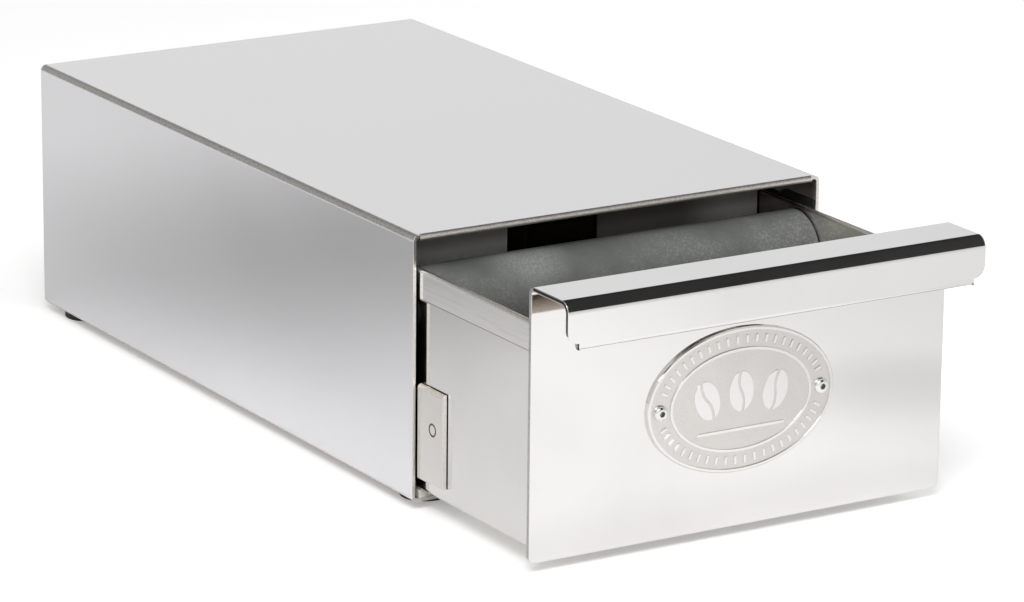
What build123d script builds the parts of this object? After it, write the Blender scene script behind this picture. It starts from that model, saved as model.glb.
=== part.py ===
from build123d import *
from math import atan2, cos, degrees, pi, sin
import os

# Coffee knock drawer: a folded steel housing with a drawer that carries a rubber-covered bar.
# Millimetres, +Z up. X runs across the front, and the drawer's front faces -Y.
# The origin is on the resting surface, under the middle of the whole object with the
# drawer pulled out as far as it is at rest.

# Housing
housing_width = 170.0
housing_depth = 290.0
housing_height = 97.0
housing_sheet = 1.2
housing_bend = 2.2            # outside radius of the long folds
bottom_flange = 34.0          # width of the two strips folded in under the drawer
hem_return = 8.0              # how far the top's front edge is folded back under itself
hem_end_gap = 1.8             # slot between the fold's end and the side wall
rear_corner = 2.0             # rounding of the side walls' rear corners
rear_flange = 12.0
rear_panel_bend = 1.5         # outside radius of the rear panel's corners
rear_panel_inner_bend = 0.5
rear_panel_edge = 0.3         # bevel around the rear panel's outside
cut = 1.0                     # how far a cutting shape runs past the sheet it cuts

# Drawer position at rest, from the housing's front edge to the face of the front panel
opening = 78.0

# Front panel and handle, one folded sheet
panel_sheet = 1.5
panel_gap_below = 0.7         # how far the panel's lower edge is above the housing's underside
panel_corner = 2.75
handle_reach = 23.0           # from the panel's face to the lip's face
handle_rise = 1.2             # how far the handle's top is above the housing's top
handle_back_bend = 3.0
handle_front_bend = 4.2
lip_bottom_height = 81.3      # above the housing's underside
lip_corner = 4.5
lip_corner_lift = 2.4         # the single-sheet ends stop this far above the fold
lip_hem_inset = 4.6           # the folded lower edge starts this far from each end
lip_hem_return = 6.0
lip_hem_bore = 0.7            # the open eye at each end of the folded edge
lip_hem_bore_depth = 3.0

# Drawer tray
tray_sheet = 1.0
tray_half_width = 81.6        # outside face of the side walls
tray_bend = 2.0               # outside radius of the tray's folds
tray_rear_face = 195.0        # behind the housing's front edge, drawer at rest
rim_height = 85.0             # top of the side rims above the housing's underside
rim_width = 2.4
rim_drop = 10.8
rim_front_gap = 1.5
front_wall_height = 83.0

# Glides and guides
glide_width = 10.0
glide_thickness = 2.5
glide_clearance = 0.05
glide_front_gap = 1.0
glide_rear_gap = 2.0
glide_ramp = 0.8
guide_length = 17.2
guide_height = 34.3
guide_thickness = 1.9
guide_bottom = 9.5
guide_round = 1.8
guide_bevel = 0.3             # along the edges at the tray's wall
weld_radius = 2.4             # the ring a spot weld leaves on the plate's outside
weld_line = 0.55
weld_depth = 0.15
weld_from_front = 7.0
weld_height = 20.0            # above the plate's lower edge
front_guide_start = -18.1     # along Y from the housing's front edge, drawer at rest
rear_guide_start = 165.0
pad_thickness = 0.5
pad_start = 0.8               # behind the housing's front edge
pad_length = 21.5
pad_bottom = 79.5
pad_top = 87.6
pad_rear_flat = 1.2

# Knock bar
bar_behind_edge = 6.0         # bar axis behind the housing's front edge, drawer at rest
bar_height = 68.2
sleeve_radius = 15.3
sleeve_half_length = 80.3
sleeve_round = 0.9
core_radius = 8.0
bar_screw_radius = 2.95
bar_screw_head = 2.25         # depth of the countersunk head, which is flush with the wall
bar_screw_reach = 16.0
bar_thread_spare = 2.0
bar_socket = 4.0              # across the flats
socket_depth = 1.0
thread_clearance = 0.05

# Splash plate behind the bar
plate_behind_edge = 32.2
plate_top = 86.5
plate_bottom = 56.0
plate_half_width = 80.1
plate_foot = 9.0
plate_tab_height = 14.0
plate_tab_length = 10.0
plate_tab_gap = 1.0           # above the foot's fold
plate_tab_bend = 0.9
notch_left = -27.4
notch_right = 10.8
notch_bottom = 70.0
notch_round = 2.0

# Badge
badge_half_width = 38.4
badge_half_height = 25.9
badge_thickness = 1.3
badge_height = 46.5
badge_shift = -0.6            # the badge sits left of the panel's middle
badge_rim = 1.3
badge_ring_depth = 0.35
badge_oval_half_width = 28.1
badge_oval_half_height = 17.5
badge_oval_line = 1.0
badge_field_depth = 0.2
badge_edge = 0.4
badge_screw_spread = 33.1
badge_screw_radius = 1.5
badge_screw_head_radius = 2.8
badge_screw_head = 1.6
badge_head_round = 1.4
badge_screw_spare = 0.8       # thread standing out of the nut
badge_socket = 2.0            # across the flats
badge_hole_radius = 1.6
bean_half_width = 5.0
bean_half_height = 7.2
bean_groove = 1.0
bean_groove_bend = 1.0
bean_spread = 14.0
bean_rise = 3.0               # middle bean above the badge's middle
bean_drop = 1.5               # outer beans below the middle one
bean_lean = 18.0              # degrees, outer beans
mark_drop = 0.05              # marks below the rim's face
ring_dash = 3.0
ring_dash_width = 0.9
ring_dashes = 52
ring_screw_room = 0.22        # sine of the angle left free beside each screw
underline_length = 36.0
underline_width = 1.1
underline_drop = 10.5
badge_nut_flats = 5.5
badge_nut_thickness = 2.4

# Feet
foot_radius = 9.0
foot_height = 3.0
foot_edge = 0.6
front_foot_from_side = 13.5
rear_foot_from_side = 11.3
foot_from_front = 14.5
foot_from_back = 15.5

# Positions worked out from the sizes above
overall_length = housing_depth + opening + handle_reach
front_y = -overall_length / 2 + handle_reach + opening   # housing's front edge
back_y = front_y + housing_depth
base_z = foot_height                                     # housing's underside
top_z = base_z + housing_height
panel_y = front_y - opening                              # face of the front panel
panel_back_y = panel_y + panel_sheet
lip_y = panel_y - handle_reach
inner_half_width = housing_width / 2 - housing_sheet
tray_inner_half = tray_half_width - tray_sheet
tray_bottom_z = base_z + housing_sheet + glide_thickness + glide_clearance
tray_floor_z = tray_bottom_z + tray_sheet
tray_back_y = front_y + tray_rear_face
bar_y = front_y + bar_behind_edge
bar_z = base_z + bar_height
badge_z = base_z + badge_height
badge_face_y = panel_y - badge_thickness


def block(x, y, z):
    """A box from three pairs of limits."""
    size = [high - low for low, high in (x, y, z)]
    middle = [(high + low) / 2 for low, high in (x, y, z)]
    return Pos(*middle) * Box(*size)


def rod(radius, start, direction, length):
    """A cylinder from a start point along a direction."""
    return extrude(Plane(origin=start, z_dir=direction) * Circle(radius), length)


def along_y(sketch, start, end):
    """Extrude a sketch drawn in X and Z from one Y to another."""
    section = Plane(origin=(0, end, 0), x_dir=(1, 0, 0), z_dir=(0, -1, 0)) * sketch
    return extrude(section, end - start)


def along_x(sketch, start, end):
    """Extrude a sketch drawn in Y and Z from one X to another."""
    section = Plane(origin=(start, 0, 0), x_dir=(0, 1, 0), z_dir=(1, 0, 0)) * sketch
    return extrude(section, end - start)


def both_sides(shape):
    """A piece and its mirror image across the middle."""
    return [shape, mirror(shape, about=Plane.YZ)]


def housing_shell():
    """Top, side walls and bottom flanges folded from one sheet, with a hemmed front edge."""
    middle_z = (base_z + top_z) / 2
    sheet = housing_sheet
    outer = RectangleRounded(housing_width, housing_height, housing_bend)
    inner = RectangleRounded(housing_width - 2 * sheet, housing_height - 2 * sheet, housing_bend - sheet)
    shell = along_y(Pos(0, middle_z) * (outer - inner), front_y, back_y)
    gap = housing_width / 2 - bottom_flange
    shell -= block((-gap, gap), (front_y - cut, back_y + cut), (base_z - cut, base_z + 2 * sheet))
    # The hem: a round nose of two sheet thicknesses, with its lower layer turned back.
    hem_half = inner_half_width - hem_end_gap
    shell -= block((-hem_half, hem_half), (front_y - cut, front_y + sheet), (top_z - 2 * sheet, top_z + cut))
    layer = Pos(front_y + sheet + hem_return / 2, top_z - 1.5 * sheet) * Rectangle(hem_return, sheet)
    nose = Pos(front_y + sheet, top_z - sheet) * Circle(sheet)
    shell += along_x(layer + nose, -hem_half, hem_half)
    # The lower rear corners of the side walls are rounded off.
    corner = block((-housing_width, housing_width), (back_y - rear_corner, back_y + cut),
                   (base_z - cut, base_z + rear_corner))
    corner -= rod(rear_corner, (-housing_width, back_y - rear_corner, base_z + rear_corner),
                  (1, 0, 0), 2 * housing_width)
    return shell - corner


def rear_panel():
    """A shallow pan that closes the back, with its flanges inside the shell."""
    sheet = housing_sheet
    width = 2 * inner_half_width
    height = housing_height - 2 * sheet
    middle_z = (base_z + top_z) / 2
    outer = Pos(0, middle_z) * RectangleRounded(width, height, rear_panel_bend)
    hollow = RectangleRounded(width - 2 * sheet, height - 2 * sheet, rear_panel_inner_bend)
    pan = along_y(outer, back_y - rear_flange, back_y)
    pan -= along_y(Pos(0, middle_z) * hollow, back_y - rear_flange - cut, back_y - sheet)
    back_edges = pan.edges().filter_by(lambda edge: abs(edge.center().Y - back_y) < 0.01)
    return chamfer(back_edges, rear_panel_edge)


def foot(side, from_side, y):
    """One rubber disc under a bottom flange."""
    disc = rod(foot_radius, (side * (housing_width / 2 - from_side), y, 0), (0, 0, 1), foot_height)
    return fillet(disc.edges().group_by(Axis.Z)[0], foot_edge)


def glide_strip(side):
    """A plastic strip on the bottom flange that the tray slides on."""
    inner = tray_half_width - glide_width
    x = sorted((side * inner, side * (inner + glide_width)))
    z = base_z + housing_sheet
    strip = block(x, (front_y + glide_front_gap, back_y - rear_flange - glide_rear_gap),
                  (z, z + glide_thickness))
    front_top = strip.edges().filter_by(Axis.X).group_by(Axis.Y)[0].sort_by(Axis.Z)[-1]
    return chamfer(front_top, glide_ramp)


def side_pad(side):
    """A thin black pad beside the tray's rim, just inside the housing's mouth."""
    height = pad_top - pad_bottom
    middle = Pos(front_y + pad_start + pad_length / 2, base_z + (pad_top + pad_bottom) / 2)
    outline = middle * Rectangle(pad_length, height)
    rear = outline.vertices().group_by(Axis.X)[-1]
    outline = fillet(rear, (height - pad_rear_flat) / 2)
    x = sorted((side * inner_half_width, side * (inner_half_width - pad_thickness)))
    return along_x(outline, x[0], x[1])


def badge_screw_x(side):
    """Where one of the badge's screws goes through the panel."""
    return badge_shift + side * badge_screw_spread


def handle_profile():
    """The sheet's section in Y and Z: panel, handle top and lip."""
    top = top_z + handle_rise
    points = [(panel_y + panel_sheet, base_z + panel_gap_below), (panel_y + panel_sheet, top),
              (lip_y, top), (lip_y, base_z + lip_bottom_height)]
    path = FilletPolyline(*points, radius=[handle_back_bend, handle_front_bend])
    inner_points = [(panel_y, points[0][1]), (panel_y, top - panel_sheet),
                    (lip_y + panel_sheet, top - panel_sheet), (lip_y + panel_sheet, points[3][1])]
    inner_path = FilletPolyline(*inner_points, radius=[handle_back_bend - panel_sheet,
                                                       handle_front_bend - panel_sheet])
    ends = [Line(points[0], inner_points[0]), Line(points[3], inner_points[3])]
    return make_face(Curve() + [path, inner_path] + ends)


def front_panel():
    """The panel with its handle and hemmed lip, and the holes for the badge screws."""
    half = housing_width / 2
    panel = along_x(handle_profile(), -half, half)
    # Rounded lower corners of the panel and of the lip.
    for side in (-1, 1):
        for y, low, lift, radius in ((panel_y, base_z + panel_gap_below, 0, panel_corner),
                                     (lip_y, base_z + lip_bottom_height, lip_corner_lift, lip_corner)):
            z = low + lift
            x = sorted((side * half, side * (half - radius)))
            square = block(x, (y - cut, y + panel_sheet + cut), (low - cut, z + radius))
            square -= rod(radius, (side * (half - radius), y - cut, z + radius), (0, 1, 0),
                          panel_sheet + 2 * cut)
            panel -= square
    # The lip's lower edge is folded inwards between the two single-sheet ends.
    hem_half = half - lip_hem_inset
    hem_z = base_z + lip_bottom_height
    panel -= block((-hem_half, hem_half), (lip_y - cut, lip_y + panel_sheet),
                   (hem_z - cut, hem_z + panel_sheet))
    nose = Pos(lip_y + panel_sheet, hem_z + panel_sheet) * Circle(panel_sheet)
    layer = Pos(lip_y + 1.5 * panel_sheet, hem_z + panel_sheet + lip_hem_return / 2) \
        * Rectangle(panel_sheet, lip_hem_return)
    panel += along_x(nose + layer, -hem_half, hem_half)
    for side in (-1, 1):
        panel -= rod(lip_hem_bore, (side * hem_half, lip_y + panel_sheet, hem_z + panel_sheet), (-side, 0, 0),
                     lip_hem_bore_depth)
        panel -= rod(badge_hole_radius, (badge_screw_x(side), panel_y - cut, badge_z), (0, 1, 0),
                     panel_sheet + 2 * cut)
    return panel


def drawer_tray():
    """The box that catches the grounds, with rims folded outwards along its sides and back."""
    z_top = base_z + rim_height
    nose_radius = rim_width / 2
    wall_top = z_top - nose_radius
    outer = block((-tray_half_width, tray_half_width), (panel_back_y, tray_back_y), (tray_bottom_z, wall_top))
    bends = outer.edges().filter_by(Axis.Z) + outer.edges().group_by(Axis.Z)[0]
    outer = fillet(bends, tray_bend)
    inner = block((-tray_inner_half, tray_inner_half),
                  (panel_back_y + tray_sheet, tray_back_y - tray_sheet), (tray_floor_z, wall_top + cut))
    folds = inner.edges().filter_by(Axis.Z) + inner.edges().group_by(Axis.Z)[0]
    tray = outer - fillet(folds, tray_bend - tray_sheet)
    tray -= block((-tray_inner_half, tray_inner_half), (panel_back_y - cut, panel_back_y + tray_bend + cut),
                  (base_z + front_wall_height, z_top + cut))
    # Side and rear rims: over the wall in a half round, then down again outside it.
    outside = tray_inner_half + rim_width
    leg = Pos(outside - tray_sheet / 2, wall_top - rim_drop / 2 + nose_radius / 2) \
        * Rectangle(tray_sheet, rim_drop - nose_radius)
    roll = Pos(outside - nose_radius, wall_top) * (Circle(nose_radius) - Circle(nose_radius - tray_sheet))
    roll -= Pos(outside - nose_radius, wall_top - nose_radius) * Rectangle(3 * rim_width, rim_width)
    side_rim = along_y(roll + leg, panel_back_y + rim_front_gap, tray_back_y - tray_bend)
    tray += both_sides(side_rim)
    shift = tray_back_y - tray_sheet - tray_inner_half
    back_rim = along_x(Pos(shift, 0) * (roll + leg), tray_bend - tray_half_width, tray_half_width - tray_bend)
    tray += back_rim
    for side in (-1, 1):
        tray -= screw_seat(side)
        tray -= rod(badge_hole_radius, (badge_screw_x(side), panel_back_y - cut, badge_z), (0, 1, 0),
                    tray_sheet + 2 * cut)
    return tray


def guide_plate(side, start):
    """A plate spot-welded to the tray's side that centres the drawer in the housing."""
    outside = side * (tray_half_width + guide_thickness)
    x = sorted((side * tray_half_width, outside))
    y = front_y + start
    z = base_z + guide_bottom
    plate = block(x, (y, y + guide_length), (z, z + guide_height))
    at_wall = plate.edges().filter_by(lambda edge: abs(abs(edge.center().X) - tray_half_width) < 0.01)
    plate = chamfer(at_wall, guide_bevel)
    top = plate.edges().group_by(Axis.Z)[-1].filter_by(Axis.Y).sort_by(Axis.X)
    plate = fillet(top[-1] if side > 0 else top[0], guide_round - guide_bevel)
    weld = Plane(origin=(outside, y + weld_from_front, z + weld_height), z_dir=(-side, 0, 0))
    return plate - extrude(weld * (Circle(weld_radius) - Circle(weld_radius - weld_line)), weld_depth)


def sunk_cone(tip_radius, side):
    """A cone as deep as a bar screw's head, wide at the wall's outside and narrow inside the rod."""
    outside = Plane(origin=(side * tray_half_width, bar_y, bar_z), z_dir=(-side, 0, 0))
    cone = Cone(tip_radius + bar_screw_head, tip_radius, bar_screw_head)
    return outside * Pos(0, 0, bar_screw_head / 2) * cone


def screw_seat(side):
    """The countersink for one bar screw, through the wall and into the rod."""
    return sunk_cone(bar_screw_radius + thread_clearance, side)


def bar_core():
    """The steel rod inside the bar, tapped at both ends and clamped between the walls."""
    core = rod(core_radius, (-tray_inner_half, bar_y, bar_z), (1, 0, 0), 2 * tray_inner_half)
    for side in (-1, 1):
        core -= rod(bar_screw_radius + thread_clearance, (side * tray_half_width, bar_y, bar_z),
                    (-side, 0, 0), bar_screw_reach + bar_thread_spare)
        core -= screw_seat(side)
    return core


def bar_sleeve():
    """The rubber tube on the rod."""
    sleeve = rod(sleeve_radius, (-sleeve_half_length, bar_y, bar_z), (1, 0, 0), 2 * sleeve_half_length)
    sleeve = fillet(sleeve.edges(), sleeve_round)
    return sleeve - rod(core_radius, (-tray_half_width, bar_y, bar_z), (1, 0, 0), 2 * tray_half_width)


def bar_screws():
    """Two countersunk screws, one through each side wall into the rod."""
    shank = rod(bar_screw_radius, (tray_half_width, bar_y, bar_z), (-1, 0, 0), bar_screw_reach)
    socket = Plane(origin=(tray_half_width, bar_y, bar_z), z_dir=(-1, 0, 0)) \
        * RegularPolygon(bar_socket / 2, 6, major_radius=False)
    screw = sunk_cone(bar_screw_radius, 1) + shank - extrude(socket, socket_depth)
    return Compound(children=both_sides(screw))


def splash_plate():
    """The notched cross plate behind the bar, with a foot flange and two end tabs."""
    y = front_y + plate_behind_edge
    sheet = tray_sheet
    low = base_z + plate_bottom
    high = base_z + plate_top
    points = [(y, high), (y, low), (y + plate_foot, low)]
    inner_points = [(y + sheet, high), (y + sheet, low + sheet), (y + plate_foot, low + sheet)]
    outer_path = FilletPolyline(*points, radius=tray_bend)
    inner_path = FilletPolyline(*inner_points, radius=tray_bend - sheet)
    ends = [Line(points[0], inner_points[0]), Line(points[2], inner_points[2])]
    plate = along_x(make_face(Curve() + [outer_path, inner_path] + ends), -plate_half_width, plate_half_width)
    notch_z = base_z + notch_bottom
    notch = block((notch_left, notch_right), (y - cut, y + sheet + cut), (notch_z, high + cut))
    plate -= fillet(notch.edges().group_by(Axis.Z)[0].filter_by(Axis.Y), notch_round)
    # End tabs turn back along the side walls and are welded there.
    tab_z = low + tray_bend + plate_tab_gap
    tab_x = (tray_inner_half - sheet, tray_inner_half)
    tab = block(tab_x, (y, y + plate_tab_length), (tab_z, tab_z + plate_tab_height))
    outside = tab.edges().filter_by(Axis.Z).group_by(Axis.Y)[0].sort_by(Axis.X)[-1]
    tab = fillet(outside, plate_tab_bend)
    return plate + both_sides(tab)


def oval(half_width, half_height, depth_from, depth_to):
    """An elliptical slab on the badge, by its depth below the badge's face."""
    face = Plane(origin=(badge_shift, badge_face_y + depth_from, badge_z), x_dir=(1, 0, 0), z_dir=(0, 1, 0))
    return extrude(face * Ellipse(half_width, half_height), depth_to - depth_from)


def raised_mark(sketch, x, z, turn, base_depth):
    """A mark standing on the badge up to the height of its rim."""
    face = Plane(origin=(badge_shift, badge_face_y + mark_drop, badge_z), x_dir=(1, 0, 0), z_dir=(0, 1, 0))
    # The sketch plane's second axis points down, so height and turn change sign.
    placed = face * Pos(x, -z) * Rot(0, 0, -turn) * sketch
    return extrude(placed, base_depth)


def coffee_bean():
    """A bean outline with the bent groove along its middle."""
    bean = Ellipse(bean_half_width, bean_half_height)
    end = bean_half_height + bean_groove
    lower = ThreePointArc((0, -end), (-bean_groove_bend, -end / 2), (0, 0))
    upper = ThreePointArc((0, 0), (bean_groove_bend, end / 2), (0, end))
    return bean - trace(lower + upper, bean_groove)


def badge_plate():
    """The oval badge: rim, dashed ring, inner oval and three raised coffee beans."""
    plate = oval(badge_half_width, badge_half_height, 0, badge_thickness)
    front = plate.edges().sort_by(Axis.Y)[0]
    plate = chamfer(front, badge_edge)
    ring = oval(badge_half_width - badge_rim, badge_half_height - badge_rim, 0, badge_ring_depth)
    ring -= oval(badge_oval_half_width + badge_oval_line, badge_oval_half_height + badge_oval_line,
                 -cut, badge_thickness)
    plate -= ring
    plate -= oval(badge_oval_half_width, badge_oval_half_height, 0, badge_field_depth)
    marks = []
    ring_x = (badge_half_width - badge_rim + badge_oval_half_width + badge_oval_line) / 2
    ring_z = (badge_half_height - badge_rim + badge_oval_half_height + badge_oval_line) / 2
    dash = SlotOverall(ring_dash, ring_dash_width)
    for step in range(ring_dashes):
        angle = 2 * pi * (step + 0.5) / ring_dashes
        if abs(sin(angle)) < ring_screw_room:
            continue                       # room for the screw heads
        x, z = ring_x * cos(angle), ring_z * sin(angle)
        turn = degrees(atan2(ring_x * sin(angle), ring_z * cos(angle)))
        marks.append(raised_mark(dash, x, z, turn, badge_ring_depth))
    for place in (-1, 0, 1):
        z = bean_rise - bean_drop * abs(place)
        lean = -place * bean_lean
        marks.append(raised_mark(coffee_bean(), place * bean_spread, z, lean, badge_field_depth))
    underline = SlotOverall(underline_length, underline_width)
    marks.append(raised_mark(underline, 0, -underline_drop, 0, badge_field_depth))
    for mark in marks:
        plate += mark
    for side in (-1, 1):
        plate -= rod(badge_hole_radius, (badge_screw_x(side), badge_face_y - cut, badge_z),
                     (0, 1, 0), badge_thickness + 2 * cut)
    return plate


def badge_screws():
    """Two button-head screws with hexagon sockets."""
    screws = []
    seat = badge_face_y + badge_ring_depth
    for side in (-1, 1):
        x = badge_screw_x(side)
        head = rod(badge_screw_head_radius, (x, seat, badge_z), (0, -1, 0), badge_screw_head)
        head = fillet(head.edges().sort_by(Axis.Y)[0], badge_head_round)
        shank = rod(badge_screw_radius - thread_clearance, (x, seat, badge_z), (0, 1, 0),
                    panel_back_y + tray_sheet - seat + badge_nut_thickness + badge_screw_spare)
        socket = Plane(origin=(x, seat - badge_screw_head, badge_z), x_dir=(1, 0, 0), z_dir=(0, 1, 0)) \
            * RegularPolygon(badge_socket / 2, 6, major_radius=False)
        screws.append(head + shank - extrude(socket, socket_depth))
    return Compound(children=screws)


def badge_nuts():
    """The nuts on the badge screws, inside the tray's front wall."""
    nuts = []
    for side in (-1, 1):
        face = Plane(origin=(badge_screw_x(side), panel_back_y + tray_sheet, badge_z),
                     x_dir=(1, 0, 0), z_dir=(0, 1, 0))
        hexagon = RegularPolygon(badge_nut_flats / 2, 6, major_radius=False) - Circle(badge_screw_radius)
        nuts.append(extrude(face * hexagon, badge_nut_thickness))
    return Compound(children=nuts)


parts = {
    "housing_shell": housing_shell(),
    "rear_panel": rear_panel(),
    "drawer_tray": drawer_tray(),
    "front_panel": front_panel(),
    "bar_core": bar_core(),
    "bar_sleeve": bar_sleeve(),
    "bar_screws": bar_screws(),
    "splash_plate": splash_plate(),
    "badge_plate": badge_plate(),
    "badge_screws": badge_screws(),
    "badge_nuts": badge_nuts(),
}
foot_rows = {"front": (front_foot_from_side, front_y + foot_from_front),
             "rear": (rear_foot_from_side, back_y - foot_from_back)}
guide_rows = {"front": front_guide_start, "rear": rear_guide_start}
for name, side in (("left", -1), ("right", 1)):
    parts[f"glide_strip_{name}"] = glide_strip(side)
    parts[f"side_pad_{name}"] = side_pad(side)
    for row, (from_side, y) in foot_rows.items():
        parts[f"foot_{row}_{name}"] = foot(side, from_side, y)
    for row, start in guide_rows.items():
        parts[f"guide_plate_{row}_{name}"] = guide_plate(side, start)

os.makedirs("parts", exist_ok=True)
for name, shape in parts.items():
    export_step(shape, f"parts/{name}.step")
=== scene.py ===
import math

import bpy
from mathutils import Matrix, Vector


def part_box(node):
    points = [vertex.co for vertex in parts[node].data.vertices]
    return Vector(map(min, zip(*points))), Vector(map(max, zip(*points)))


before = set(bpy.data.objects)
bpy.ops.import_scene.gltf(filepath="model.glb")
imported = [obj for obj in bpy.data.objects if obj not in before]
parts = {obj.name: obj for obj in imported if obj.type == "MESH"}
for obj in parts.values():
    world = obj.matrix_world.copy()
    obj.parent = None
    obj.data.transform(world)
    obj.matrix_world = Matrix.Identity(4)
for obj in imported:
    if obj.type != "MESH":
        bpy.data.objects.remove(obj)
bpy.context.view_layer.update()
print("frame loaded,", len(parts), "parts")

# the marks below are measured from these corners, in metres, and a pair of numbers there is from and to
shellLow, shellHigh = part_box("housing_shell")
frontLow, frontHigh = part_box("front_panel")
trayLow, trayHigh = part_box("drawer_tray")
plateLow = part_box("guide_plate_front_right")[0]
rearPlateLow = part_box("guide_plate_rear_right")[0]
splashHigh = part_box("splash_plate")[1]
sleeveLow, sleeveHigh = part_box("bar_sleeve")
screwsLow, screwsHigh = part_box("badge_screws")
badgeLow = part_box("badge_plate")[0]
barY = (sleeveLow.y + sleeveHigh.y) / 2

bevelSamples = 6
middle = (0.3, 0.7)  # most of a noise lies between these
squareOn = (0.90, 0.97)  # how much of its normal lies along an axis where a surface faces that way


# shader helpers, most of which add a node and give back its output

def addNode(tree, kind, **settings):
    node = tree.nodes.new(kind)
    for key, value in settings.items():
        setattr(node, key, value)
    return node


def feed(tree, socket, value):
    # the value is another node's output, a number, a vector or a colour
    if isinstance(value, bpy.types.NodeSocket):
        tree.links.new(value, socket)
    elif socket.type == "RGBA":
        socket.default_value = (*value, 1.0)
    else:
        socket.default_value = value


def wired(tree, kind, inputs, output, **settings):
    node = addNode(tree, kind, **settings)
    for key, value in inputs.items():
        feed(tree, node.inputs[key], value)
    return node.outputs[output]


def calc(tree, operation, first, second=0.0):
    return wired(tree, "ShaderNodeMath", {0: first, 1: second}, "Value", operation=operation)


def chain(tree, operation, first, *others):
    for other in others:
        first = calc(tree, operation, first, other)
    return first


def times(tree, *values):
    return chain(tree, "MULTIPLY", *values)


def plus(tree, *values):
    return chain(tree, "ADD", *values)


def largest(tree, *values):
    return chain(tree, "MAXIMUM", *values)


def absolute(tree, value):
    return calc(tree, "ABSOLUTE", value)


def nearest(tree, value, *places):
    # how far the value is from the nearest of the places
    return chain(tree, "MINIMUM", *(absolute(tree, calc(tree, "SUBTRACT", value, place)) for place in places))


def diagonal(tree, across, up):
    return calc(tree, "SQRT", plus(tree, times(tree, across, across), times(tree, up, up)))


def distanceTo(tree, point, place):
    return wired(tree, "ShaderNodeVectorMath", {0: point, 1: place}, "Value", operation="DISTANCE")


def ramp(tree, value, start, end, low=0.0, high=1.0, smooth=False):
    # low up to the start, high from the end on
    inputs = {"Value": value, "From Min": start, "From Max": end, "To Min": low, "To Max": high}
    kind = "SMOOTHSTEP" if smooth else "LINEAR"
    return wired(tree, "ShaderNodeMapRange", inputs, "Result", interpolation_type=kind)


def fade(tree, value, start, end, high=1.0, smooth=False):
    return ramp(tree, value, start, end, high, 0.0, smooth)


def above(tree, value, limit, soft=0.0001):
    return ramp(tree, value, limit - soft, limit)


def below(tree, value, limit, soft=0.0001):
    return fade(tree, value, limit, limit + soft)


def within(tree, value, low, high, soft=0.0001):
    return times(tree, above(tree, value, low, soft), below(tree, value, high, soft))


def mixColour(tree, share, first, second, blend="MIX"):
    # sockets 6 and 7 are a mix node's two colours, and output 2 is their mix
    inputs = {0: share, 6: first, 7: second}
    return wired(tree, "ShaderNodeMix", inputs, 2, data_type="RGBA", blend_type=blend)


def darkened(tree, clean, share, colour):
    darkTone = mixColour(tree, 1.0, clean, colour, "MULTIPLY")
    return mixColour(tree, share, clean, darkTone)


def splitPoint(tree, output):
    # Object is the point on the part itself, so the marks travel with the drawer; Normal is the way it faces
    where = addNode(tree, "ShaderNodeTexCoord")
    split = addNode(tree, "ShaderNodeSeparateXYZ")
    tree.links.new(where.outputs[output], split.inputs["Vector"])
    return split.outputs


def objectPoint(tree, stretch=(1, 1, 1)):
    where = addNode(tree, "ShaderNodeTexCoord")
    return wired(tree, "ShaderNodeMapping", {"Vector": where.outputs["Object"], "Scale": stretch}, "Vector")


def noise(tree, point, scale, detail, roughness, distortion=0.0):
    inputs = {"Vector": point, "Scale": scale, "Detail": detail, "Roughness": roughness,
              "Distortion": distortion}
    return wired(tree, "ShaderNodeTexNoise", inputs, "Fac")


def roundedNormal(tree, radius):
    return wired(tree, "ShaderNodeBevel", {"Radius": radius}, "Normal", samples=bevelSamples)


def bumped(tree, height, depth, strength=1.0, normal=None):
    inputs = {"Height": height, "Distance": depth, "Strength": strength}
    if normal is not None:
        inputs["Normal"] = normal
    return wired(tree, "ShaderNodeBump", inputs, "Normal")


def facesAlong(tree, axes):
    facing = splitPoint(tree, "Normal")
    return ramp(tree, largest(tree, *(absolute(tree, facing[axis]) for axis in axes)), *squareOn)


def newMaterial(name):
    made = bpy.data.materials.new(name)
    made.use_nodes = True
    return made, made.node_tree, made.node_tree.nodes["Principled BSDF"]


def paint(made, *partNames):
    for partName in partNames:
        slots = parts[partName].data.materials
        slots.clear()
        slots.append(made)


# stainless sheet: faint grain and clouds, rough bright cut faces, edges rubbed round

sheet = {
    "metal": 1.0, "grainScale": 2400.0, "cloudBand": (0.32, 0.68),
    "tornScale": 900.0, "tornBand": (0.35, 0.65), "tornDepth": 0.00015,
    "edgeTurn": (0.03, 0.25), "rubbedScale": 1800.0, "rubbedBand": (0.35, 0.60), "rubbedLeast": 0.3,
    "foldFacing": (0.985, 0.999), "foldSoft": 0.0005, "foldAbove": 0.0,
    "pitScale": 1100.0, "pitBand": (0.35, 0.60),
    "local": [], "scatter": [],
}


def rubbedEdge(tree, look):
    # how far the rounded normal turns from the flat one, which is high along cut edges
    flat = addNode(tree, "ShaderNodeNewGeometry").outputs["Normal"]
    inputs = {0: roundedNormal(tree, look["edgeRadius"]), 1: flat}
    together = wired(tree, "ShaderNodeVectorMath", inputs, "Value", operation="DOT_PRODUCT")
    return ramp(tree, calc(tree, "SUBTRACT", 1.0, together), *look["edgeTurn"])


def foldedZone(tree, look):
    # where the surface faces along none of the axes, which is where the sheet was bent
    facing = splitPoint(tree, "Normal")
    straightest = largest(tree, *(absolute(tree, facing[axis]) for axis in "XYZ"))
    high = above(tree, splitPoint(tree, "Object")["Z"], look["foldAbove"], look["foldSoft"])
    return times(tree, fade(tree, straightest, *look["foldFacing"]), high)


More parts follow.
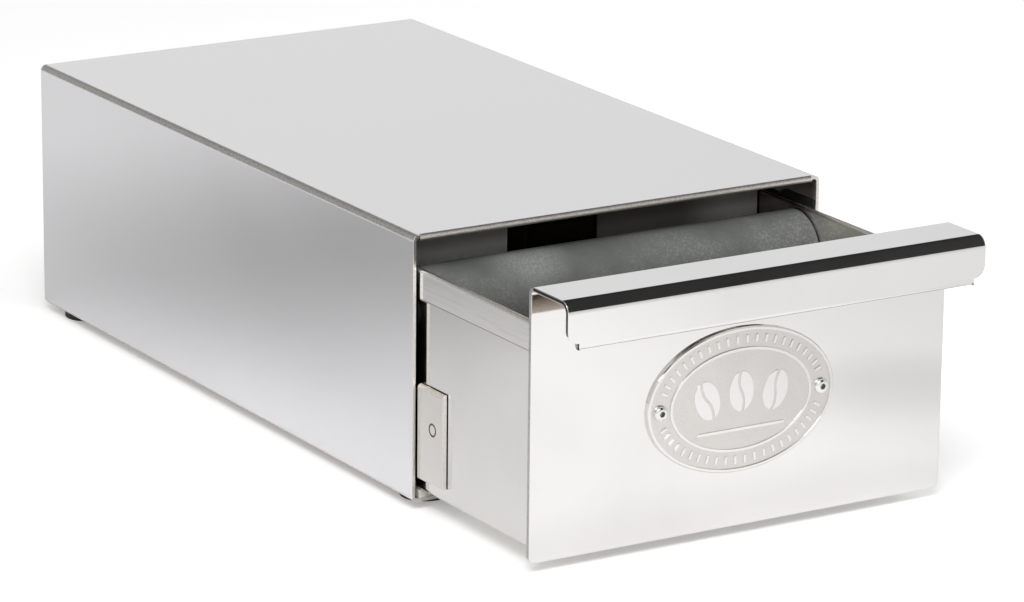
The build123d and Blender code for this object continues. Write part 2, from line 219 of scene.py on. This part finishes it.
def sheetMarks(tree, look):
    # what the sheet's colour, roughness and surface have in common
    point = objectPoint(tree)
    along = objectPoint(tree, look["grainStretch"])
    return {
        "point": point,
        "grain": noise(tree, along, look["grainScale"], detail=3.0, roughness=0.55),
        "cloud": noise(tree, point, look["cloudScale"], detail=3.0, roughness=0.5, distortion=0.6),
        "torn": noise(tree, point, look["tornScale"], detail=3.0, roughness=0.7),
        "cut": facesAlong(tree, look["cutAxes"]),
        "edge": rubbedEdge(tree, look),
        "fold": foldedZone(tree, look),
    }


def sheetColour(tree, look, marks):
    tint = mixColour(tree, ramp(tree, marks["cloud"], *look["cloudBand"]), look["dark"], look["light"])
    shade = ramp(tree, marks["grain"], *middle, 1.0 - look["grainShade"], 1.0 + look["grainShade"])
    tinted = mixColour(tree, 1.0, tint, shade, "MULTIPLY")
    # cut faces are torn by the shears
    cutDark = tuple(look["cutShade"] * channel for channel in look["cutColour"])
    cutTone = mixColour(tree, ramp(tree, marks["torn"], *look["tornBand"]), cutDark, look["cutColour"])
    withCut = mixColour(tree, marks["cut"], tinted, cutTone)
    # edges are rubbed bright, here more and there less; the brightening is partly wear and partly painted
    # highlight
    speck = noise(tree, marks["point"], look["rubbedScale"], detail=2.0, roughness=0.6)
    broken = ramp(tree, speck, *look["rubbedBand"], look["rubbedLeast"], 1.0)
    worn = mixColour(tree, times(tree, marks["edge"], broken, look["edgeShine"]), withCut, look["edgeColour"])
    # the sheet's skin is stretched and pitted where it was bent
    pits = noise(tree, marks["point"], look["pitScale"], detail=2.0, roughness=0.6)
    pitted = ramp(tree, pits, *look["pitBand"], 1.0 - look["foldPits"], 1.0)
    foldTone = mixColour(tree, 1.0, look["foldColour"], pitted, "MULTIPLY")
    skin = mixColour(tree, times(tree, marks["fold"], look["foldTint"]), worn, foldTone)
    for local in look["local"]:
        skin = local(tree, skin)
    return skin


def sheetRoughness(tree, look, marks):
    least = look["rough"] - look["cloudRough"]
    most = look["rough"] + look["cloudRough"]
    # sockets 2 and 3 are a mix node's two numbers
    inputs = {0: marks["cut"], 2: ramp(tree, marks["cloud"], *middle, least, most), 3: look["cutRough"]}
    withTorn = wired(tree, "ShaderNodeMix", inputs, 0, data_type="FLOAT")
    rough = plus(tree, withTorn, times(tree, marks["edge"], look["edgeRough"]),
                 times(tree, marks["fold"], look["foldRough"]))
    for scatter in look["scatter"]:
        rough = scatter(tree, rough)
    return rough


def sheetNormal(tree, look, marks):
    # rounded edges, slow waves in the sheet, then the fine grain and the torn faces
    normal = roundedNormal(tree, look["softRadius"])
    wave = noise(tree, marks["point"], look["waveScale"], detail=1.5, roughness=0.4)
    normal = bumped(tree, wave, look["waveDepth"], normal=normal)
    normal = bumped(tree, marks["grain"], look["grainDepth"], normal=normal)
    return bumped(tree, marks["torn"], look["tornDepth"], marks["cut"], normal)


def sheetSteel(name, look):
    made, tree, shader = newMaterial(name)
    marks = sheetMarks(tree, look)
    feed(tree, shader.inputs["Metallic"], look["metal"])
    feed(tree, shader.inputs["Base Color"], sheetColour(tree, look, marks))
    feed(tree, shader.inputs["Roughness"], sheetRoughness(tree, look, marks))
    feed(tree, shader.inputs["Normal"], sheetNormal(tree, look, marks))
    return made


# housing, with painted shade that makes it duller and browner inside than out

inside = {
    "halfWidth": shellHigh.x - 0.0005, "top": shellHigh.z - 0.0035,
    "mouth": (shellLow.y + 0.0010, shellLow.y + 0.0025), "darkTone": (0.52, 0.47, 0.42),
}


def insideShade(tree, clean):
    # painted shade: the housing's inside is darkened to a brown tone
    place = splitPoint(tree, "Object")
    share = times(tree, within(tree, place["X"], -inside["halfWidth"], inside["halfWidth"]),
                  below(tree, place["Z"], inside["top"]), ramp(tree, place["Y"], *inside["mouth"]))
    return darkened(tree, clean, share, inside["darkTone"])


hem = {
    "front": (shellLow.y + 0.0014, shellLow.y + 0.0017), "bottom": shellHigh.z - 0.0030,
    "halfWidth": shellHigh.x - 0.0028, "bendShadeColour": (0.30, 0.28, 0.26),
    "upperFacing": (0.42, 0.96), "upperSoft": 0.20, "upperShare": 0.36,
    "lowerFacing": (-0.45, -0.10), "lowerShare": 0.7,
    "noseFacing": (0.45, 0.80), "noseRough": 0.25,
}


def hemZone(tree):
    place = splitPoint(tree, "Object")
    return times(tree, fade(tree, place["Y"], *hem["front"]), above(tree, place["Z"], hem["bottom"]),
                 within(tree, place["X"], -hem["halfWidth"], hem["halfWidth"]))


def hemBendShade(tree, clean):
    # painted shade keeps the hem's two bends darker than its rubbed nose, the lower one most
    upward = splitPoint(tree, "Normal")["Z"]
    upper = times(tree, within(tree, upward, *hem["upperFacing"], hem["upperSoft"]), hem["upperShare"])
    lower = fade(tree, upward, *hem["lowerFacing"], hem["lowerShare"])
    share = times(tree, largest(tree, upper, lower), hemZone(tree))
    return darkened(tree, clean, share, hem["bendShadeColour"])


def hemNose(tree, rough):
    # the nose itself is ground, so it scatters the light
    upward = absolute(tree, splitPoint(tree, "Normal")["Z"])
    extra = fade(tree, upward, *hem["noseFacing"], hem["noseRough"])
    return plus(tree, rough, times(tree, extra, hemZone(tree)))


housing = dict(
    sheet,
    rough=0.19, cloudRough=0.015, dark=(0.83, 0.82, 0.835), light=(0.86, 0.85, 0.865), cloudScale=7.0,
    grainStretch=(1.0, 0.10, 1.0), grainShade=0.006, grainDepth=0.0000003,
    waveScale=5.0, waveDepth=0.0004, softRadius=0.0003,
    cutAxes="Y", cutColour=(0.95, 0.92, 0.87), cutShade=0.82, cutRough=0.34,
    edgeRadius=0.00035, edgeShine=0.6, edgeColour=(0.95, 0.92, 0.87), edgeRough=0.12,
    foldTint=0.7, foldColour=(0.98, 0.94, 0.88), foldPits=0.30, foldRough=0.16,
    local=[insideShade, hemBendShade], scatter=[hemNose],
)
paint(sheetSteel("housing_satin_steel", housing), "housing_shell")
rearPanel = dict(housing, cutAxes="X")
paint(sheetSteel("rear_panel_satin_steel", rearPanel), "rear_panel")
print("housing steel done")


# front panel and handle, brighter and closer to a mirror

lip = {
    "layer": (frontLow.y + 0.0014, frontLow.y + 0.0055), "facing": (0.5, 0.9),
    "height": (frontHigh.z - 0.0177, frontHigh.z - 0.0092),
    "toneHeight": (frontHigh.z - 0.0162, frontHigh.z - 0.0107),
    "lowTone": (0.46, 0.40, 0.35), "highTone": (0.07, 0.05, 0.035),
    "noseHeight": (frontHigh.z - 0.0170, frontHigh.z - 0.0164), "noseRear": frontLow.y + 0.0035,
    "noseColour": (0.45, 0.43, 0.41),
}


def lipInsideShade(tree, clean):
    # painted shade on the folded layer behind the lip, dull and brown, darkest along its upper edge
    place = splitPoint(tree, "Object")
    backward = ramp(tree, splitPoint(tree, "Normal")["Y"], *lip["facing"])
    share = times(tree, within(tree, place["Y"], *lip["layer"]), backward,
                  within(tree, place["Z"], *lip["height"]))
    tone = mixColour(tree, ramp(tree, place["Z"], *lip["toneHeight"]), lip["lowTone"], lip["highTone"])
    inner = mixColour(tree, share, clean, tone)
    # and painted shade draws the fold's underside as a fine grey line
    nose = times(tree, within(tree, place["Z"], *lip["noseHeight"]), below(tree, place["Y"], lip["noseRear"]))
    return darkened(tree, inner, nose, lip["noseColour"])


handle = {
    "bendY": frontLow.y + 0.0042, "bendZ": frontHigh.z - 0.0042,
    "line": (0.0031, 0.0039), "lineRear": frontHigh.y - 0.0025, "lineColour": (0.04, 0.035, 0.03),
    "topShadeColour": (0.86, 0.865, 0.875),
}


def handleEndReflection(tree, clean):
    # painted dark reflection: a dark line along the middle of the handle's cut ends, between its rubbed edges
    place = splitPoint(tree, "Object")
    forward = largest(tree, calc(tree, "SUBTRACT", handle["bendY"], place["Y"]), 0.0)
    upward = largest(tree, calc(tree, "SUBTRACT", place["Z"], handle["bendZ"]), 0.0)
    line = within(tree, diagonal(tree, forward, upward), *handle["line"])
    share = times(tree, below(tree, place["Y"], handle["lineRear"]), facesAlong(tree, "X"), line)
    return darkened(tree, clean, share, handle["lineColour"])


def handleTopShade(tree, clean):
    # painted shade: faces that look up are darkened a little
    upward = ramp(tree, splitPoint(tree, "Normal")["Z"], *squareOn)
    return darkened(tree, clean, upward, handle["topShadeColour"])


front = dict(
    sheet,
    rough=0.06, cloudRough=0.02, dark=(0.885, 0.87, 0.86), light=(0.94, 0.925, 0.915), cloudScale=14.0,
    grainStretch=(0.10, 1.0, 1.0), grainShade=0.005, grainDepth=0.0000002,
    waveScale=9.0, waveDepth=0.0010, softRadius=0.00045,
    # the cut faces' dark colour is painted dark reflection
    cutAxes="X", cutColour=(0.55, 0.53, 0.51), cutShade=0.72, cutRough=0.10,
    edgeRadius=0.00035, edgeShine=0.9, edgeColour=(0.97, 0.95, 0.92), edgeRough=0.08,
    foldTint=0.0, foldColour=(0.9, 0.9, 0.9), foldPits=0.0, foldRough=0.02,
    local=[lipInsideShade, handleEndReflection, handleTopShade],
)
paint(sheetSteel("front_polished_steel", front), "front_panel")
print("front steel done")


# drawer tray and the pieces on it, bright rolled sheet as it comes from the mill

rolled = dict(
    sheet,
    rough=0.09, cloudRough=0.02, dark=(0.745, 0.73, 0.72), light=(0.81, 0.795, 0.785), cloudScale=14.0,
    grainStretch=(1.0, 0.08, 1.0), grainShade=0.006, grainDepth=0.0000003,
    waveScale=12.0, waveDepth=0.0006, softRadius=0.0002,
    cutAxes="Y", cutColour=(0.90, 0.86, 0.80), cutShade=0.72, cutRough=0.45,
    edgeRadius=0.0003, edgeShine=0.6, edgeColour=(0.93, 0.90, 0.85), edgeRough=0.10,
    foldTint=0.9, foldColour=(1.0, 0.94, 0.86), foldPits=0.22, foldRough=0.32, foldAbove=0.080,
)

trayInside = {
    "halfWidth": trayHigh.x - 0.0018, "rear": trayHigh.y - 0.0022, "floor": trayLow.z + 0.00045,
    "start": (barY - 0.0115, barY + 0.0005), "colour": (0.19, 0.155, 0.13),
    "blotchScale": 40.0, "blotchShare": (0.86, 1.0),
    "frontLight": (barY - 0.0215, barY - 0.0115), "frontLightShare": 0.9, "frontLightColour": (1.0, 0.96, 0.88),
}


def trayInsideShading(tree, clean):
    # painted shade on the inside of the tray, brown and blotchy, fading towards its front
    place = splitPoint(tree, "Object")
    across = within(tree, place["X"], -trayInside["halfWidth"], trayInside["halfWidth"])
    blotch = noise(tree, objectPoint(tree), trayInside["blotchScale"], detail=4.0, roughness=0.6, distortion=0.5)
    share = times(tree, across, ramp(tree, place["Y"], *trayInside["start"], smooth=True),
                  below(tree, place["Y"], trayInside["rear"]), above(tree, place["Z"], trayInside["floor"]),
                  ramp(tree, blotch, *middle, *trayInside["blotchShare"]))
    shadedInside = darkened(tree, clean, share, trayInside["colour"])
    # painted light makes the front compartment's walls pale and warm
    frontLight = times(tree, fade(tree, place["Y"], *trayInside["frontLight"], trayInside["frontLightShare"], smooth=True), across)
    return mixColour(tree, frontLight, shadedInside, trayInside["frontLightColour"])


rim = {
    "bottom": trayHigh.z - 0.0103, "outside": trayHigh.x - 0.0010, "legLightColour": (0.97, 0.96, 0.94),
    "legLight": (trayLow.y + 0.0060, shellLow.y - 0.0005), "legLightShare": (0.15, 0.95),
    "streakStretch": (1.0, 0.035, 1.0), "streakScale": 900.0, "streakBand": (0.50, 0.64),
    "streakShare": 0.30, "streakColour": (0.80, 0.74, 0.66),
    "lineHeight": 0.0003, "lineOutside": trayHigh.x - 0.0015, "lineColour": (0.55, 0.51, 0.47),
}


def rimLegLight(tree, clean):
    # painted light: the rim's outside is lighter than the wall below it, more towards the rear
    place = splitPoint(tree, "Object")
    across = absolute(tree, place["X"])
    onRim = times(tree, above(tree, across, rim["outside"]), above(tree, place["Z"], rim["bottom"]))
    rearward = ramp(tree, place["Y"], *rim["legLight"], *rim["legLightShare"])
    legLight = mixColour(tree, times(tree, onRim, rearward), clean, rim["legLightColour"])
    # brown streaks run along it where the housing's pads rub
    streak = noise(tree, objectPoint(tree, rim["streakStretch"]), rim["streakScale"], detail=3.0,
                   roughness=0.6)
    streaked = times(tree, ramp(tree, streak, *rim["streakBand"], 0.0, rim["streakShare"]), onRim)
    return darkened(tree, legLight, streaked, rim["streakColour"])


def rimShadow(tree, clean):
    # a fine dark line along the lower edge of the rolled rim
    place = splitPoint(tree, "Object")
    line = within(tree, place["Z"], rim["bottom"] - rim["lineHeight"], rim["bottom"])
    share = times(tree, line, above(tree, absolute(tree, place["X"]), rim["lineOutside"]))
    return darkened(tree, clean, share, rim["lineColour"])


tray = dict(rolled, cutAxes="Z", cutColour=(0.76, 0.745, 0.735), cutRough=0.09,
            local=[trayInsideShading, rimLegLight, rimShadow])
paint(sheetSteel("tray_rolled_steel", tray), "drawer_tray")

weld = {
    "frontY": plateLow.y + 0.0070, "rearY": rearPlateLow.y + 0.0070, "height": plateLow.z + 0.0200,
    "ring": (0.00185, 0.0024), "ringSoft": 0.00015, "ringColour": (0.14, 0.09, 0.09),
    "haloTo": 0.0032, "haloShare": 0.8, "haloColour": (0.80, 0.66, 0.54),
}


def weldRing(tree, clean):
    # the blue-brown ring and the straw-coloured halo that the spot weld leaves
    place = splitPoint(tree, "Object")
    aside = nearest(tree, place["Y"], weld["frontY"], weld["rearY"])
    away = diagonal(tree, aside, calc(tree, "SUBTRACT", place["Z"], weld["height"]))
    halo = times(tree, fade(tree, away, weld["ring"][1], weld["haloTo"], weld["haloShare"], smooth=True),
                 ramp(tree, away, *weld["ring"]))
    tinted = mixColour(tree, halo, clean, weld["haloColour"])
    ring = within(tree, away, *weld["ring"], weld["ringSoft"])
    return mixColour(tree, ring, tinted, weld["ringColour"])


joint = {"depth": (plateLow.x + 0.00030, plateLow.x + 0.00036), "colour": (0.06, 0.055, 0.05)}


def jointShade(tree, clean):
    # painted shade in the joint between the plate and the tray's wall
    across = absolute(tree, splitPoint(tree, "Object")["X"])
    return darkened(tree, clean, fade(tree, across, *joint["depth"]), joint["colour"])


guide = dict(
    rolled,
    rough=0.20, dark=(0.70, 0.68, 0.65), light=(0.76, 0.745, 0.72),
    cutColour=(1.0, 0.98, 0.96), cutShade=0.90, cutRough=0.14, edgeRadius=0.0006, edgeShine=0.8,
    foldPits=0.12, foldRough=0.42, foldAbove=0.040, local=[weldRing, jointShade],
)
paint(sheetSteel("guide_sheared_steel", guide), "guide_plate_front_left", "guide_plate_front_right",
      "guide_plate_rear_left", "guide_plate_rear_right")

splashShade = {
    "height": (splashHigh.z - 0.0080, splashHigh.z - 0.0025), "edgeColour": (0.45, 0.44, 0.42),
    "shadeStart": (0.004, 0.009), "shadeEnd": (0.044, 0.070), "shadeColour": (0.31, 0.29, 0.27),
}


def splashTopShade(tree, clean):
    # painted shade along the splash plate's upper edge
    share = ramp(tree, splitPoint(tree, "Object")["Z"], *splashShade["height"], smooth=True)
    return darkened(tree, clean, share, splashShade["edgeColour"])


def notchSideShade(tree, clean):
    # painted shade darkens the splash plate to the right of its notch
    across = splitPoint(tree, "Object")["X"]
    share = times(tree, ramp(tree, across, *splashShade["shadeStart"]),
                  fade(tree, across, *splashShade["shadeEnd"], smooth=True))
    return darkened(tree, clean, share, splashShade["shadeColour"])


splash = dict(rolled, metal=0.45, rough=0.45, dark=(0.91, 0.91, 0.90), light=(0.96, 0.96, 0.95),
              cutAxes="XZ", local=[splashTopShade, notchSideShade])
paint(sheetSteel("splash_satin_steel", splash), "splash_plate")
core = dict(rolled, rough=0.08, cutAxes="X")
paint(sheetSteel("bar_core_steel", core), "bar_core")

sockets = {
    "left": screwsLow.x + 0.0028, "right": screwsHigh.x - 0.0028, "height": (screwsLow.z + screwsHigh.z) / 2,
    "radius": 0.0011, "face": screwsLow.y + 0.00025, "soft": 0.0001, "colour": (0.30, 0.29, 0.28),
}


def socketShade(tree, clean):
    # painted shade in the badge screws' hexagon sockets
    place = splitPoint(tree, "Object")
    aside = nearest(tree, place["X"], sockets["left"], sockets["right"])
    up = calc(tree, "SUBTRACT", place["Z"], sockets["height"])
    hollow = below(tree, diagonal(tree, aside, up), sockets["radius"], sockets["soft"])
    deep = ramp(tree, place["Y"], sockets["face"], sockets["face"] + sockets["soft"])
    return darkened(tree, clean, times(tree, hollow, deep), sockets["colour"])


fastener = dict(
    rolled,
    rough=0.12, dark=(0.88, 0.88, 0.88), light=(0.94, 0.94, 0.94), softRadius=0.0001,
    cutAxes="Z", cutColour=(0.9, 0.9, 0.9), cutRough=0.18, foldTint=0.0, foldRough=0.0, local=[socketShade],
)
paint(sheetSteel("fastener_steel", fastener), "bar_screws", "badge_screws", "badge_nuts")
print("tray, guides, splash plate and fasteners done")


# rubber bar with a powdery bloom, and the other moulded pieces

barMarks = {
    "chalkAt": (-0.0380, -0.0915, 0.0853), "chalkRadii": (0.0042, 0.021), "chalkShare": 0.52,
    "ends": (sleeveHigh.x - 0.0018, sleeveHigh.x - 0.0003), "endShare": 0.45,
    "speckBand": (0.38, 0.60), "speckLeast": 0.35,
}


def barBloom(tree, speck, bloomShare):
    # a patch of dry coffee on the bar and pale rubbed ends
    point = addNode(tree, "ShaderNodeTexCoord").outputs["Object"]
    away = distanceTo(tree, point, barMarks["chalkAt"])
    chalk = fade(tree, away, *barMarks["chalkRadii"], barMarks["chalkShare"], smooth=True)
    across = absolute(tree, splitPoint(tree, "Object")["X"])
    ends = ramp(tree, across, *barMarks["ends"], 0.0, barMarks["endShare"])
    broken = ramp(tree, speck, *barMarks["speckBand"], barMarks["speckLeast"], 1.0)
    return largest(tree, bloomShare, times(tree, largest(tree, chalk, ends), broken))


def rubber(name, look):
    made, tree, shader = newMaterial(name)
    point = objectPoint(tree)
    patch = noise(tree, point, look["patchScale"], detail=4.0, roughness=0.6, distortion=0.3)
    speck = noise(tree, point, look["speckScale"], detail=3.0, roughness=0.7)
    base = mixColour(tree, ramp(tree, patch, *middle), look["deep"], look["worn"])
    bloomShare = times(tree, ramp(tree, speck, *look["speckBand"]),
                       ramp(tree, patch, *look["patchBand"], *look["patchShare"]))
    for mark in look["marks"]:
        bloomShare = mark(tree, speck, bloomShare)
    least, most = (look["rough"] + step for step in look["roughSteps"])
    feed(tree, shader.inputs["Specular IOR Level"], look["specular"])
    feed(tree, shader.inputs["Base Color"], mixColour(tree, bloomShare, base, look["bloom"]))
    feed(tree, shader.inputs["Roughness"], ramp(tree, speck, *middle, least, most))
    feed(tree, shader.inputs["Normal"], bumped(tree, speck, look["bumpDepth"], look["bumpStrength"]))
    return made


bar = {
    "deep": (0.090, 0.094, 0.088), "worn": (0.148, 0.153, 0.146), "bloom": (0.34, 0.352, 0.338),
    "speckScale": 1100.0, "speckBand": (0.49, 0.60),
    "patchScale": 30.0, "patchBand": (0.45, 0.75), "patchShare": (0.05, 0.55),
    "rough": 0.62, "roughSteps": (-0.08, 0.10), "specular": 0.35,
    "bumpDepth": 0.00010, "bumpStrength": 0.6, "marks": [barBloom],
}
paint(rubber("bar_rubber", bar), "bar_sleeve")

feet = dict(bar, deep=(0.018, 0.018, 0.018), worn=(0.03, 0.03, 0.03), bloom=(0.06, 0.06, 0.06), rough=0.55,
            marks=[])
paint(rubber("foot_rubber", feet), "foot_front_left", "foot_front_right", "foot_rear_left", "foot_rear_right")

pad = dict(feet, deep=(0.010, 0.010, 0.010), worn=(0.016, 0.016, 0.016), bloom=(0.05, 0.05, 0.05))
paint(rubber("pad_rubber", pad), "side_pad_left", "side_pad_right")

glide = dict(feet, deep=(0.74, 0.72, 0.66), worn=(0.80, 0.78, 0.72), bloom=(0.70, 0.68, 0.62), rough=0.45,
             bumpDepth=0.00002)
paint(rubber("glide_plastic", glide), "glide_strip_left", "glide_strip_right")
print("rubber and plastic done")


# badge, polished on its marks, rims and flanks, and blasted matte between them

badge = {
    "raised": (badgeLow.y + 0.00015, badgeLow.y + 0.00007), "bright": (0.90, 0.885, 0.865),
    "brightRough": 0.16, "matte": (0.78, 0.745, 0.72), "matteRough": 0.30, "matteShade": 0.95,
    "cloudScale": 60.0, "blastScale": 2400.0, "blastRough": 0.04,
    "blastDepth": 0.000012, "blastStrength": 0.5, "softRadius": 0.00018,
    "flankFacing": (0.55, 0.85), "flankPolish": 0.8,
}


def badgeMetal(name, look):
    made, tree, shader = newMaterial(name)
    raised = ramp(tree, splitPoint(tree, "Object")["Y"], *look["raised"])
    point = objectPoint(tree)
    blast = noise(tree, point, look["blastScale"], detail=3.0, roughness=0.6)
    cloud = noise(tree, point, look["cloudScale"], detail=3.0, roughness=0.5)
    matteDark = tuple(look["matteShade"] * channel for channel in look["matte"])
    matte = mixColour(tree, ramp(tree, cloud, *middle), matteDark, look["matte"])
    rough = plus(tree, ramp(tree, raised, 0.0, 1.0, look["matteRough"], look["brightRough"]),
                 ramp(tree, blast, *middle, -look["blastRough"], look["blastRough"]))
    forward = absolute(tree, splitPoint(tree, "Normal")["Y"])
    flank = times(tree, fade(tree, forward, *look["flankFacing"]), look["flankPolish"])
    rough = times(tree, rough, calc(tree, "SUBTRACT", 1.0, flank))
    soft = roundedNormal(tree, look["softRadius"])
    feed(tree, shader.inputs["Metallic"], 1.0)
    feed(tree, shader.inputs["Base Color"], mixColour(tree, raised, matte, look["bright"]))
    feed(tree, shader.inputs["Roughness"], rough)
    feed(tree, shader.inputs["Normal"], bumped(tree, blast, look["blastDepth"], look["blastStrength"], soft))
    return made


paint(badgeMetal("badge_cast_metal", badge), "badge_plate")
print("badge done")


# floor of pale paper, a little darker where the steel shows it less lit

floorLook = {
    "size": 14.0, "colour": (0.86, 0.86, 0.86), "rough": 0.9, "specular": 0.1, "glow": 0.06, "white": 0.30,
    "rearCentre": (-0.268, 0.214, 0.0), "rearRadius": 0.27, "rearDepth": 0.55,
    "rightRise": (0.05, 0.20), "rightDepth": 0.17,
    "spotCentre": (0.165, -0.290, 0.0), "spotRadius": 0.10, "spotDepth": 0.27,
    "nearRise": (-0.25, -0.19), "nearDepth": 0.11, "frontEnd": (-0.20, -0.10),
}


def floorShade(tree, look):
    # to the left behind the housing, and to the right and close to the panel in front
    position = addNode(tree, "ShaderNodeNewGeometry").outputs["Position"]
    split = addNode(tree, "ShaderNodeSeparateXYZ")
    tree.links.new(position, split.inputs["Vector"])
    place = split.outputs
    fromRear = distanceTo(tree, position, look["rearCentre"])
    rear = fade(tree, fromRear, 0.0, look["rearRadius"], look["rearDepth"], smooth=True)
    fromSpot = distanceTo(tree, position, look["spotCentre"])
    spot = fade(tree, fromSpot, 0.0, look["spotRadius"], look["spotDepth"], smooth=True)
    right = ramp(tree, place["X"], *look["rightRise"], 0.0, look["rightDepth"], smooth=True)
    near = ramp(tree, place["Y"], *look["nearRise"], 0.0, look["nearDepth"], smooth=True)
    inFront = fade(tree, place["Y"], *look["frontEnd"], smooth=True)
    return largest(tree, rear, spot, times(tree, right, inFront), times(tree, near, inFront))


def floorPaper(look):
    paper, tree, shader = newMaterial("floor_paper")
    feed(tree, shader.inputs["Base Color"], look["colour"])
    feed(tree, shader.inputs["Roughness"], look["rough"])
    feed(tree, shader.inputs["Specular IOR Level"], look["specular"])
    seen = addNode(tree, "ShaderNodeLightPath").outputs
    strength = largest(tree, times(tree, seen["Is Glossy Ray"], look["glow"]),
                       times(tree, seen["Is Camera Ray"], look["white"]))
    glow = wired(tree, "ShaderNodeEmission", {"Strength": strength}, "Emission")
    bright = wired(tree, "ShaderNodeAddShader", {0: shader.outputs["BSDF"], 1: glow}, "Shader")
    unlit = wired(tree, "ShaderNodeEmission", {"Strength": 0.0}, "Emission")
    shade = times(tree, floorShade(tree, look), seen["Is Glossy Ray"])
    shaded = wired(tree, "ShaderNodeMixShader", {0: shade, 1: bright, 2: unlit}, "Shader")
    tree.links.new(shaded, tree.nodes["Material Output"].inputs["Surface"])
    return paper


def makeFloor(look):
    half = look["size"] / 2
    corners = [(-half, -half, 0), (half, -half, 0), (half, half, 0), (-half, half, 0)]
    mesh = bpy.data.meshes.new("floor")
    mesh.from_pydata(corners, [], [(0, 1, 2, 3)])
    mesh.materials.append(floorPaper(look))
    floor = bpy.data.objects.new("floor", mesh)
    bpy.context.scene.collection.objects.link(floor)


makeFloor(floorLook)


# studio round the object: bright walls, softboxes and black card, each given by the directions it fills,
# where it is absent at a band's first value and full at its second

studio = {
    "dim": 0.17, "flag": 0.035,
    "blackCard": [("X", 0.30, 0.42), ("X", 0.63, 0.57), ("Y", 0.78, 0.70), ("Z", 0.06, 0.16),
                  ("Z", 0.95, 0.90)],
    "lights": {
        "rightWall": (1.05, [("X", 0.12, 0.36), ("Y", 0.2, 0.5), ("Z", 0.47, 0.37)]),
        "softbox": (1.0, [("X", 0.30, 0.05), ("Y", 0.0, -0.25), ("Z", 0.90, 0.78)]),
        "lowFront": (1.05, [("Y", 0.1, -0.1), ("Z", 0.16, 0.06)]),
        "overhead": (1.2, [("Z", 0.93, 0.97)]),
        "farLeft": (0.75, [("X", -0.54, -0.66), ("Y", -0.2, 0.1), ("Z", 0.10, 0.20), ("Z", 0.90, 0.75)]),
        "nearLeft": (0.75, [("X", -0.30, -0.42), ("Y", -0.2, 0.1), ("Y", 0.77, 0.70), ("Z", 0.10, 0.20),
                            ("Z", 0.90, 0.75)]),
        "farRight": (0.75, [("X", 0.56, 0.64), ("Y", 0.60, 0.30), ("Z", 0.90, 0.75)]),
        "farBack": (0.75, [("Y", 0.875, 0.915), ("Z", 0.06, 0.16), ("Z", 0.90, 0.75)]),
    },
}


def makeWorld(look):
    world = bpy.data.worlds.new("studio")
    bpy.context.scene.world = world
    world.use_nodes = True
    tree = world.node_tree
    tree.nodes.clear()
    direction = splitPoint(tree, "Generated")

    def band(axis, absent, full):
        if absent < full:
            return ramp(tree, direction[axis], absent, full, smooth=True)
        return fade(tree, direction[axis], full, absent, smooth=True)

    sky = look["dim"]
    for strength, bands in look["lights"].values():
        sky = largest(tree, sky, times(tree, strength, *(band(*limits) for limits in bands)))
    card = times(tree, *(band(*limits) for limits in look["blackCard"]))
    sky = largest(tree, times(tree, sky, calc(tree, "SUBTRACT", 1.0, card)), look["flag"])
    studioLight = wired(tree, "ShaderNodeBackground", {"Strength": sky}, "Background")
    white = wired(tree, "ShaderNodeBackground", {"Color": (1, 1, 1)}, "Background")
    straight = addNode(tree, "ShaderNodeLightPath").outputs["Is Camera Ray"]
    shown = wired(tree, "ShaderNodeMixShader", {0: straight, 1: studioLight, 2: white}, "Shader")
    tree.links.new(shown, addNode(tree, "ShaderNodeOutputWorld").inputs["Surface"])


makeWorld(studio)

lamps = {
    "lamp_key": {"place": (-0.9, -1.1, 1.7), "target": (0, -0.05, 0.05), "size": 1.2, "power": 26.0,
                 "inSteel": True},
    "lamp_fill": {"place": (1.4, -0.6, 1.3), "target": (0, 0, 0.05), "size": 1.4, "power": 12.0,
                  "inSteel": False},
}


def softLamp(name, look):
    light = bpy.data.lights.new(name, "AREA")
    light.shape = "DISK"
    light.size = look["size"]
    light.energy = look["power"]
    lamp = bpy.data.objects.new(name, light)
    lamp.location = look["place"]
    toTarget = Vector(look["target"]) - Vector(look["place"])
    lamp.rotation_euler = toTarget.to_track_quat("-Z", "Y").to_euler()
    lamp.visible_glossy = look["inSteel"]
    bpy.context.scene.collection.objects.link(lamp)


for lampName, lampLook in lamps.items():
    softLamp(lampName, lampLook)
print("stage done")


# camera, from the photograph's viewing angle

cameraLook = {
    "place": (-0.9266, -1.5335, 0.5579), "azimuth": -31.498, "elevation": 16.094, "roll": 0.608,
    "lens": 176.2, "sensor": 36.0, "clip": (0.05, 50.0),
}


def makeCamera(look):
    azimuth, elevation, roll = (math.radians(look[key]) for key in ("azimuth", "elevation", "roll"))
    back = Vector((math.sin(azimuth) * math.cos(elevation), -math.cos(azimuth) * math.cos(elevation),
                   math.sin(elevation)))
    right = Vector((math.cos(azimuth), math.sin(azimuth), 0))
    up = back.cross(right)
    axisX = right * math.cos(roll) + up * math.sin(roll)
    axisY = -right * math.sin(roll) + up * math.cos(roll)
    data = bpy.data.cameras.new("camera")
    data.sensor_width = look["sensor"]
    data.lens = look["lens"]
    data.clip_start, data.clip_end = look["clip"]
    camera = bpy.data.objects.new("camera", data)
    turn = Matrix((axisX, axisY, back)).transposed().to_4x4()
    camera.matrix_world = Matrix.Translation(look["place"]) @ turn
    bpy.context.scene.collection.objects.link(camera)
    bpy.context.scene.camera = camera


makeCamera(cameraLook)
bpy.context.scene.view_settings.view_transform = "Standard"
print("camera done")
